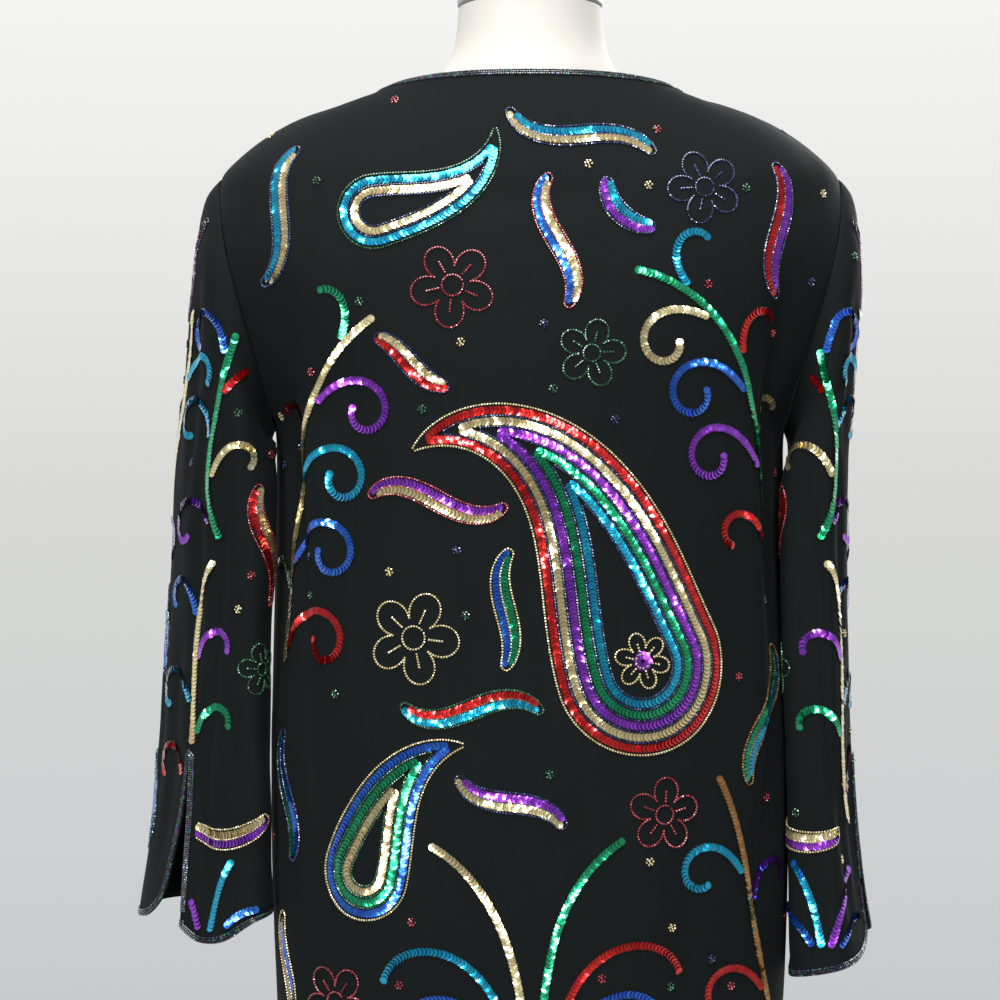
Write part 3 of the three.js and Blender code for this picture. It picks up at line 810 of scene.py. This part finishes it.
def sewSeeds(trim, seeds):
    # small rings of beads, strewn where nothing else is sewn
    placed = []
    taken = np.array(trim.taken)
    tries = 0
    while len(placed) < seeds["count"] and tries < 40 * seeds["count"]:
        tries += 1
        place = (dice.uniform(*seeds["around"]), dice.uniform(*seeds["up"]))
        if np.min(np.linalg.norm(taken - place, axis=1)) < seeds["clear"]:
            continue
        if placed and min(math.dist(place, other) for other in placed) < seeds["apart"]:
            continue
        placed.append(place)
        colour = dice.choice(seeds["colours"])
        trim.beadLine(ringPath(place, 2.5, dice.uniform(0, 6)), colour, 2.4)
        trim.beadLine(ringPath(place, 0.9, 0.0), colour, 2.6)


def edgeBand(trim, runs, keep, rows, colours):
    # rows of beads along the free edges that keep picks
    for run in runs:
        kept = [keep(point / mm) for point, _, _ in run]
        if not any(kept):
            continue
        first = next((i for i in range(len(run)) if kept[i] and not kept[i - 1]), 0)
        order = [(first + i) % len(run) for i in range(len(run))]
        stretch = []
        for i in order + [order[0]]:
            if kept[i] and not (i == order[0] and len(stretch) == len(run)):
                stretch.append(run[i])
            elif stretch:
                sewEdge(trim, stretch, rows, colours)
                stretch = []
        if stretch:
            sewEdge(trim, stretch, rows, colours)


def sewEdge(trim, stretch, rows, colours):
    if len(stretch) < 4:
        return
    points = np.array([list(point) for point, _, _ in stretch])
    normals = np.array([list(normal) for _, normal, _ in stretch])
    inside = np.array([list(middle) for _, _, middle in stretch]) - points
    along = np.gradient(points, axis=0)
    along /= np.linalg.norm(along, axis=1)[:, None] + 1e-9
    square = np.cross(normals, along)
    square /= np.linalg.norm(square, axis=1)[:, None] + 1e-9
    square *= np.sign(np.sum(square * inside, axis=1))[:, None]
    for offset in rows:
        line = [(Vector(p), Vector(n)) for p, n in zip(points + square * offset * mm, normals)]
        for place in evenPlaces(line, 1.75):
            trim.beads.append((*place, dice.choice(colours)))


def templateSequin():
    # a shallow cup: two fans that share a rim
    form = bmesh.new()
    bmesh.ops.create_circle(form, cap_ends=True, cap_tris=True, segments=sequinSet["sides"], radius=0.5)
    under = bmesh.ops.duplicate(form, geom=form.verts[:] + form.edges[:] + form.faces[:])["geom"]
    bmesh.ops.reverse_faces(form, faces=[g for g in under if isinstance(g, bmesh.types.BMFace)])
    for v in form.verts:
        if v.co.length < 0.1:
            low = sequinSet["cup"] + (sequinSet["film"] if v in under else 0)
            v.co.z = -low / sequinSet["across"]
    bmesh.ops.remove_doubles(form, verts=form.verts, dist=0.001)
    return form


def templateBead():
    form = bmesh.new()
    bmesh.ops.create_cone(
        form, cap_ends=True, segments=beadSet["sides"], radius1=0.36, radius2=0.36, depth=1)
    middle = bmesh.ops.bisect_plane(
        form, geom=form.verts[:] + form.edges[:] + form.faces[:], plane_no=(0, 0, 1))["geom_cut"]
    for v in middle:
        if isinstance(v, bmesh.types.BMVert):
            v.co.x *= 1.4
            v.co.y *= 1.4
    bmesh.ops.rotate(form, verts=form.verts, matrix=Matrix.Rotation(math.pi / 2, 3, "Y"))
    return form


def copiesMesh(name, form, places, frames, sizes):
    # one joined mesh of the form at every place; frames' columns are its x, y and z
    form.verts.ensure_lookup_table()
    base = np.array([list(v.co) for v in form.verts])
    faces = [[v.index for v in f.verts] for f in form.faces]
    form.free()
    count = len(places)
    verts = np.einsum("nij,vj->nvi", frames * sizes[:, None, None], base) + places[:, None, :]
    loops = np.concatenate([np.array(face) for face in faces])
    lengths = np.array([len(face) for face in faces])
    mesh = bpy.data.meshes.new(name)
    mesh.vertices.add(count * len(base))
    mesh.vertices.foreach_set("co", verts.astype(np.float32).ravel())
    mesh.loops.add(count * len(loops))
    allLoops = loops[None, :] + (np.arange(count) * len(base))[:, None]
    mesh.loops.foreach_set("vertex_index", allLoops.astype(np.int32).ravel())
    mesh.polygons.add(count * len(faces))
    starts = np.concatenate([[0], np.cumsum(np.tile(lengths, count))[:-1]])
    mesh.polygons.foreach_set("loop_start", starts.astype(np.int32))
    mesh.update(calc_edges=True)
    mesh.validate()
    return mesh, len(faces), base


def turned(vectors, axes, degrees):
    # each vector turned about its own axis
    angle = np.radians(degrees)[:, None]
    dot = np.sum(axes * vectors, axis=1)[:, None]
    return (vectors * np.cos(angle) + np.cross(axes, vectors) * np.sin(angle)
            + axes * dot * (1 - np.cos(angle)))


def sewnObject(name, form, sewn, shape):
    places = np.array([row[0] for row in sewn])
    up = np.array([row[1] for row in sewn])
    up /= np.linalg.norm(up, axis=1)[:, None]
    ahead = np.array([row[2] for row in sewn])
    ahead -= up * np.sum(ahead * up, axis=1)[:, None]
    ahead /= np.linalg.norm(ahead, axis=1)[:, None] + 1e-12
    side = np.cross(up, ahead)
    count = len(sewn)
    jitter = np.array([[dice.gauss(0, 1) for _ in range(2)] + [dice.random()] for _ in range(count)])
    sway = np.array([list(noise.noise_vector(Vector(place) / (shape["patch"] * mm))) for place in places])
    sway *= shape["sway"]
    lean = shape["tilt"] + shape["tiltJitter"] * np.clip(jitter[:, 0], -2, 2) + sway[:, 0]
    roll = shape["rollJitter"] * np.clip(jitter[:, 1], -2, 2) + sway[:, 1]
    ahead, up2 = turned(ahead, side, lean), turned(up, side, lean)
    side, up2 = turned(side, ahead, roll), turned(up2, ahead, roll)
    frames = np.stack([ahead, side, up2], axis=2)
    sizes = np.full(count, shape["across"] * mm) * (0.96 + 0.08 * jitter[:, 2])
    mesh, faceCount, base = copiesMesh(name, form, places + up * shape["height"] * mm, frames, sizes)
    names = sorted({row[3] for row in sewn})
    for colour in names:
        mesh.materials.append(smallPieceMaterials[colour])
    kinds = np.repeat([names.index(row[3]) for row in sewn], faceCount)
    mesh.polygons.foreach_set("material_index", kinds.astype(np.int32))
    mesh.polygons.foreach_set("use_smooth", [False] * len(mesh.polygons))
    tones = np.repeat([dice.random() for _ in range(count)], len(base))
    # rim is the mask for the painted shade: 0 at a sequin's middle or a bead's waist, 1 at its rim or ends
    rims = np.tile(2 * np.linalg.norm(base[:, shape["rimShadeAxes"]], axis=1), count)
    for title, values in (("tone", tones), ("rim", np.clip(rims, 0, 1))):
        layer = mesh.attributes.new(title, "FLOAT", "POINT")
        layer.data.foreach_set("value", values.astype(np.float32))
    made = bpy.data.objects.new(name, mesh)
    bpy.context.scene.collection.objects.link(made)
    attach(made, "root")
    return made


backWork = {
    "paisleys": [
        {"at": (78, 372), "heading": 112, "length": 268, "radius": 62, "bend": -22, "endBend": 105,
         "outline": "goldBead", "line": "navyBead", "bands": ["red", "gold", "violet", "emerald", "turquoise"]},
        {"at": (-122, 226), "heading": 70, "length": 128, "radius": 34, "bend": 18, "endBend": -130,
         "outline": "goldBead", "line": "greenBead", "bands": ["cobalt", "emerald", "gold"]},
        {"at": (-112, 694), "heading": 12, "length": 118, "radius": 27, "bend": -20, "endBend": 165,
         "outline": "greenBead", "line": "navyBead", "bands": ["turquoise", "gold"]},
    ],
    "vines": [
        {"at": (-206, 372), "heading": 82, "length": 272, "bend": 8, "endBend": -44, "colour": "gold",
         "branches": [
             {"share": 0.04, "way": -1, "length": 128, "bend": 40, "curl": 500, "colour": "red"},
             {"share": 0.27, "way": -1, "length": 132, "bend": 30, "curl": 500, "colour": "cobalt"},
             {"share": 0.49, "way": -1, "length": 128, "bend": 30, "curl": 520, "colour": "turquoise"},
             {"share": 0.72, "way": -1, "length": 118, "bend": 30, "curl": 540, "colour": "violet"},
             {"share": 0.2, "way": 1, "length": 42, "bend": 60, "curl": 620, "colour": "emerald"},
             {"share": 0.6, "way": 1, "length": 46, "bend": 60, "curl": 600, "colour": "red"},
             {"share": 0.9, "way": 1, "length": 48, "bend": 60, "curl": 500, "colour": "emerald"},
         ]},
        {"at": (186, 436), "heading": 96, "length": 262, "bend": -6, "endBend": 62, "colour": "emerald",
         "branches": [
             {"share": 0.1, "way": 1, "length": 66, "bend": 70, "curl": 640, "colour": "red"},
             {"share": 0.3, "way": 1, "length": 126, "bend": 30, "curl": 520, "colour": "violet"},
             {"share": 0.52, "way": 1, "length": 124, "bend": 30, "curl": 520, "colour": "cobalt"},
             {"share": 0.76, "way": 1, "length": 104, "bend": 50, "curl": 540, "colour": "gold"},
             {"share": 0.4, "way": -1, "length": 46, "bend": 60, "curl": 620, "colour": "gold"},
             {"share": 0.62, "way": -1, "length": 52, "bend": 60, "curl": 600, "colour": "red"},
             {"share": 0.86, "way": -1, "length": 58, "bend": 60, "curl": 560, "colour": "turquoise"},
         ]},
        {"at": (196, 112), "heading": 118, "length": 190, "bend": -34, "endBend": 36, "colour": "bronze",
         "branches": [
             {"share": 0.16, "way": 1, "length": 96, "bend": 40, "curl": 520, "colour": "red"},
             {"share": 0.5, "way": -1, "length": 60, "bend": 60, "curl": 560, "colour": "violet"},
             {"share": 0.62, "way": 1, "length": 92, "bend": 40, "curl": 560, "colour": "turquoise"},
         ]},
    ],
    "fans": [
        {"at": (2, 84), "heading": 92, "spread": 24, "length": 190, "bend": -30, "endBend": 330,
         "colours": ["cobalt", "turquoise", "gold", "emerald", "red", "cobalt"]},
    ],
    "leaves": [
        {"at": (-16, 770), "heading": -76, "length": 118, "bend": 260, "endBend": -230,
         "rows": ["gold", "turquoise"], "edge": "navyBead"},
        {"at": (14, 720), "heading": -140, "length": 104, "bend": 300, "endBend": -280,
         "rows": ["cobalt", "gold"], "edge": "redBead"},
        {"at": (-18, 486), "heading": 230, "length": 108, "bend": -290, "endBend": 290,
         "rows": ["violet", "gold"], "edge": "redBead"},
        {"at": (-92, 346), "heading": -60, "length": 108, "bend": 300, "endBend": -290,
         "rows": ["turquoise", "red"], "edge": "greenBead"},
        {"at": (200, 384), "heading": -54, "length": 112, "bend": -270, "endBend": 250,
         "rows": ["emerald", "turquoise"], "edge": "bronzeBead"},
        {"at": (-200, 322), "heading": -136, "length": 100, "bend": 290, "endBend": -270,
         "rows": ["emerald", "cobalt"], "edge": "navyBead"},
        {"at": (-202, 190), "heading": -130, "length": 82, "bend": 300, "endBend": -280,
         "rows": ["bronze", "cobalt"], "edge": "goldBead"},
        {"at": (-172, 744), "heading": -150, "length": 112, "bend": 250, "endBend": -270,
         "rows": ["turquoise", "gold"], "edge": "navyBead"},
        {"at": (178, 732), "heading": -40, "length": 104, "bend": -260, "endBend": 250,
         "rows": ["red", "violet"], "edge": "navyBead"},
        {"at": (-14, 454), "heading": -140, "length": 88, "bend": 280, "endBend": -250,
         "rows": ["cobalt", "emerald"], "edge": "goldBead"},
        {"at": (54, 718), "heading": -100, "length": 56, "bend": 200, "endBend": 160,
         "rows": ["violet", "turquoise"], "edge": "navyBead"},
        {"at": (-52, 296), "heading": -72, "length": 88, "bend": 300, "endBend": -290,
         "rows": ["gold", "violet"], "edge": "navyBead"},
        {"at": (-112, 604), "heading": -10, "length": 66, "bend": -250, "endBend": 290,
         "rows": ["red", "gold"], "edge": "navyBead"},
    ],
    "flowers": [
        {"at": (-56, 640), "radius": 30, "turn": 12, "colour": "redBead"},
        {"at": (42, 592), "radius": 24, "turn": 40, "colour": "greenBead"},
        {"at": (124, 712), "radius": 27, "turn": 5, "colour": "navyBead"},
        {"at": (-84, 392), "radius": 33, "turn": 30, "colour": "goldBead"},
        {"at": (94, 268), "radius": 26, "turn": 50, "colour": "redBead"},
        {"at": (-146, 132), "radius": 27, "turn": 18, "colour": "redBead"},
        {"at": (78, 376), "radius": 20, "turn": 18, "colour": "goldBead", "heart": "violet", "petals": 6},
    ],
    "seeds": {"count": 46, "around": (-225, 225), "up": (100, 780), "clear": 10, "apart": 26,
              "colours": ["redBead", "greenBead", "navyBead", "goldBead"]},
}
frontWork = {
    "paisleys": [
        {"at": (92, 330), "heading": 98, "length": 190, "radius": 46, "bend": 14, "endBend": -110,
         "outline": "goldBead", "line": "navyBead", "bands": ["violet", "gold", "turquoise"]},
    ],
    "vines": [
        {"at": (40, 92), "heading": 40, "length": 196, "bend": 110, "endBend": -70, "colour": "gold",
         "branches": [
             {"share": 0.1, "way": -1, "length": 110, "bend": 30, "curl": 480, "colour": "red"},
             {"share": 0.42, "way": -1, "length": 100, "bend": 30, "curl": 520, "colour": "cobalt"},
         ]},
        {"at": (164, 416), "heading": 60, "length": 290, "bend": 86, "endBend": -74, "colour": "turquoise",
         "branches": [
             {"share": 0.4, "way": 1, "length": 74, "bend": 50, "curl": 620, "colour": "gold"},
             {"share": 0.5, "way": -1, "length": 60, "bend": 60, "curl": 560, "colour": "red"},
             {"share": 0.7, "way": 1, "length": 72, "bend": 50, "curl": 620, "colour": "violet"},
             {"share": 0.8, "way": -1, "length": 50, "bend": 60, "curl": 600, "colour": "emerald"},
         ]},
    ],
    "leaves": [
        {"at": (34, 690), "heading": -110, "length": 100, "bend": 170, "endBend": -170,
         "rows": ["gold", "turquoise"], "edge": "navyBead"},
        {"at": (190, 400), "heading": -110, "length": 96, "bend": 180, "endBend": -180,
         "rows": ["violet", "gold"], "edge": "redBead"},
        {"at": (196, 250), "heading": -80, "length": 90, "bend": -180, "endBend": 180,
         "rows": ["red", "cobalt"], "edge": "goldBead"},
        {"at": (30, 450), "heading": 70, "length": 78, "bend": 180, "endBend": -180,
         "rows": ["emerald", "cobalt"], "edge": "navyBead"},
    ],
    "flowers": [
        {"at": (66, 536), "radius": 22, "turn": 12, "colour": "redBead"},
        {"at": (92, 330), "radius": 16, "turn": 12, "colour": "goldBead", "heart": "red"},
        {"at": (158, 130), "radius": 28, "turn": 40, "colour": "greenBead"},
        {"at": (150, 716), "radius": 22, "turn": 5, "colour": "navyBead"},
    ],
    "seeds": {"count": 22, "around": (12, 225), "up": (90, 740), "clear": 10, "apart": 26,
              "colours": ["redBead", "greenBead", "navyBead", "goldBead"]},
}
sleeveWork = {
    "vines": [
        {"at": (-4, 462), "heading": 60, "length": 236, "bend": 62, "endBend": -54, "colour": "emerald",
         "branches": [
             {"share": 0.06, "way": -1, "length": 92, "bend": 40, "curl": 560, "colour": "violet"},
             {"share": 0.2, "way": 1, "length": 58, "bend": 60, "curl": 620, "colour": "gold"},
             {"share": 0.32, "way": -1, "length": 88, "bend": 40, "curl": 560, "colour": "turquoise"},
             {"share": 0.46, "way": 1, "length": 56, "bend": 60, "curl": 640, "colour": "red"},
             {"share": 0.58, "way": -1, "length": 84, "bend": 40, "curl": 580, "colour": "cobalt"},
             {"share": 0.7, "way": 1, "length": 56, "bend": 60, "curl": 640, "colour": "violet"},
         ]},
        {"at": (28, 254), "heading": 122, "length": 196, "bend": -78, "endBend": 84, "colour": "gold",
         "branches": [
             {"share": 0.12, "way": -1, "length": 74, "bend": 60, "curl": 560, "colour": "red"},
             {"share": 0.34, "way": 1, "length": 52, "bend": 60, "curl": 640, "colour": "emerald"},
             {"share": 0.46, "way": -1, "length": 78, "bend": 50, "curl": 580, "colour": "turquoise"},
             {"share": 0.62, "way": 1, "length": 52, "bend": 60, "curl": 640, "colour": "violet"},
             {"share": 0.78, "way": -1, "length": 66, "bend": 50, "curl": 620, "colour": "cobalt"},
         ]},
        {"at": (162, 300), "heading": 82, "length": 350, "bend": 40, "endBend": -36, "colour": "gold",
         "branches": [
             {"share": 0.1, "way": 1, "length": 84, "bend": 40, "curl": 540, "colour": "cobalt"},
             {"share": 0.3, "way": -1, "length": 84, "bend": 40, "curl": 540, "colour": "red"},
             {"share": 0.5, "way": 1, "length": 78, "bend": 40, "curl": 560, "colour": "violet"},
             {"share": 0.7, "way": -1, "length": 80, "bend": 40, "curl": 560, "colour": "emerald"},
             {"share": 0.86, "way": 1, "length": 60, "bend": 40, "curl": 600, "colour": "turquoise"},
         ]},
    ],
    "fans": [
        {"at": (-8, 168), "heading": 84, "spread": 36, "length": 66, "bend": 40, "endBend": 240,
         "colours": ["cobalt", "turquoise", "violet", "cobalt"]},
    ],
    "leaves": [
        {"at": (-58, 260), "heading": -50, "length": 76, "bend": 110, "endBend": 110,
         "rows": ["violet", "gold"], "edge": "goldBead"},
        {"at": (-38, 500), "heading": -60, "length": 96, "bend": -270, "endBend": 280,
         "rows": ["gold", "red"], "edge": "redBead"},
        {"at": (92, 426), "heading": -70, "length": 72, "bend": -270, "endBend": 280,
         "rows": ["turquoise", "cobalt"], "edge": "navyBead"},
        {"at": (26, 704), "heading": -66, "length": 50, "bend": -240, "endBend": 260,
         "rows": ["violet", "cobalt"], "edge": "navyBead"},
        {"at": (76, 696), "heading": -60, "length": 76, "bend": -250, "endBend": 260,
         "rows": ["gold", "emerald"], "edge": "plumBead"},
        {"at": (140, 250), "heading": -94, "length": 60, "bend": -240, "endBend": 260,
         "rows": ["emerald", "gold"], "edge": "navyBead"},
        {"at": (84, 300), "heading": -70, "length": 70, "bend": -240, "endBend": 260,
         "rows": ["cobalt", "violet"], "edge": "tealBead"},
    ],
    "flowers": [
        {"at": (-48, 366), "radius": 19, "turn": 40, "colour": "greenBead"},
    ],
    "seeds": {"count": 20, "around": (-56, 186), "up": (200, 700), "clear": 9, "apart": 22,
              "colours": ["redBead", "greenBead", "navyBead", "goldBead"]},
}
edgeSet = {
    "rows": (0.6, 2.3, 4.0),
    "colours": ["jetBead", "navyBead", "jetBead", "tealBead", "jetBead", "greenBead", "jetBead", "plumBead"],
}
hemHeight, cuffReach, neckReach = 80, 302, 688


def isNeckOrHem(point):
    return point.z < hemHeight or (point.z > 784 and abs(point.x) < 115)


def isFrontEdge(point):
    onNeck = point.z > neckReach and abs(point.x) < 114 and point.y > 1
    return point.z < hemHeight or abs(point.x) < 16 or onNeck


def isCuff(point):
    return point.z < cuffReach


workOf = {
    "back": (backWork, isNeckOrHem),
    "frontRight": (frontWork, isFrontEdge),
    "frontLeft": (frontWork, isFrontEdge),
    "sleeveRight": (sleeveWork, isCuff),
    "sleeveLeft": (sleeveWork, isCuff),
}
for name, (work, onEdge) in workOf.items():
    piece = pieces[name]
    trim = Trim(piece)
    for paisley in work.get("paisleys", []):
        sewPaisley(trim, paisley)
    for vine in work["vines"]:
        sewVine(trim, vine)
    for fan in work.get("fans", []):
        sewFan(trim, fan)
    for leaf in work["leaves"]:
        sewLeaf(trim, leaf)
    for flower in work["flowers"]:
        sewFlower(trim, flower)
    sewSeeds(trim, work["seeds"])
    edgeBand(trim, piece["edges"], onEdge, edgeSet["rows"], edgeSet["colours"])
    sequins = sewnObject(name + "Sequins", templateSequin(), trim.sequins, sequinSet)
    beads = sewnObject(name + "Beads", templateBead(), trim.beads, beadSet)
    print(name, "has", len(trim.sequins), "sequins and", len(trim.beads), "beads")


# Camera, lights, world and floor
def lookAt(thing, target):
    thing.rotation_euler = (Vector(target) - thing.location).to_track_quat("-Z", "Y").to_euler()


cameraData = bpy.data.cameras.new("camera")
cameraData.lens = cameraSet["lens"]
cameraData.sensor_width = cameraSet["sensor"]
camera = bpy.data.objects.new("camera", cameraData)
camera.location = Vector((cameraSet["x"], -cameraSet["distance"], cameraSet["height"])) * mm
camera.rotation_euler = (math.pi / 2, 0, 0)
bpy.context.scene.collection.objects.link(camera)
bpy.context.scene.camera = camera
for lamp in lightSet:
    data = bpy.data.lights.new(lamp["name"], "AREA")
    data.size = lamp["size"]
    data.energy = lamp["watts"]
    data.color = lamp["colour"]
    made = bpy.data.objects.new(lamp["name"], data)
    made.location = lamp["at"]
    lookAt(made, (0, 0, 0.5))
    bpy.context.scene.collection.objects.link(made)

world = bpy.data.worlds.new("room")
bpy.context.scene.world = world
world.use_nodes = True
sky = Wire(world.node_tree)
way = sky.node("ShaderNodeTexCoord", out=0)
height = sky.node("ShaderNodeSeparateXYZ", None, {0: way}, out=2)
depth = sky.node("ShaderNodeSeparateXYZ", None, {0: way}, out=1)
tones = sky.node("ShaderNodeValToRGB", {"stops": [(0.5 + place, tone) for place, tone in wallTones]},
                 {0: height + 0.5})
lit = sky.node("ShaderNodeMapRange", None, {
    "Value": depth, "From Min": wallSet["dimFrom"], "From Max": wallSet["litFrom"], "To Min": wallSet["dim"]})
backdrop = world.node_tree.nodes["Background"]
world.node_tree.links.new(tones.socket, backdrop.inputs["Color"])
world.node_tree.links.new(lit.socket, backdrop.inputs["Strength"])

disc = bmesh.new()
bmesh.ops.create_circle(disc, cap_ends=True, segments=96, radius=floorSet["radius"] * mm)
floor = asObject("floor", disc)
floor.location.z = -0.0004


def floorShade(wire, place):
    far = wire.node("ShaderNodeVectorMath", {"operation": "LENGTH"}, {0: place}, out=1)
    reach = (far - floorSet["fadeFrom"] * mm) * (1000 / (floorSet["fadeTo"] - floorSet["fadeFrom"]))
    solid = wire.node("ShaderNodeClamp", None, {"Value": 1 - reach})
    grain = noiseAt(wire, place, 300, 2)
    return {"Alpha": solid, "Roughness": 0.7 + 0.1 * grain}


floor.data.materials.append(
    newMaterial("paleFloor", floorShade, {"Base Color": floorSet["colour"]}))
bpy.context.scene.view_settings.view_transform = "Standard"
